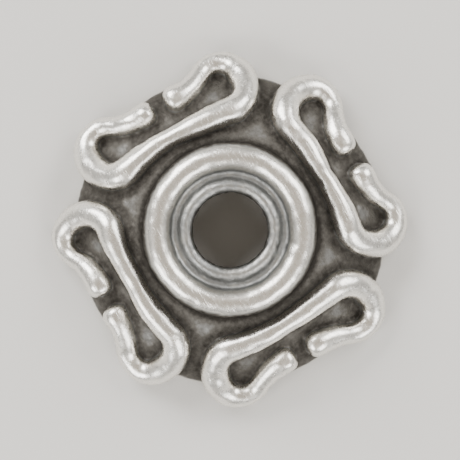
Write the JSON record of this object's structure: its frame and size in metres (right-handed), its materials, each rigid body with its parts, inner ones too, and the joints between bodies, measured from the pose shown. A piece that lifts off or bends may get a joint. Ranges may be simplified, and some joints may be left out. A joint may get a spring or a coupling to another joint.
{
  "type": "bead cap",
  "caption": "Small cast dome that caps a bead on a string, with a raised collar round its hole and scrolls of wire relief whose lobes overhang the rim.",
  "frame": {"origin": "on the hole's axis, at the level of the flat rim that the cap stands on", "axes": "+Z along the hole from the rim to the collar, +Y through the middle of one scroll"},
  "size_m": [0.007, 0.007, 0.002],
  "materials": {
    "plated_zinc": "antique silver plate on cast zinc, rubbed bright on the relief and black in the recesses"
  },
  "bodies": {
    "root": {"bead_cap": "plated_zinc"}
  },
  "joints": []
}
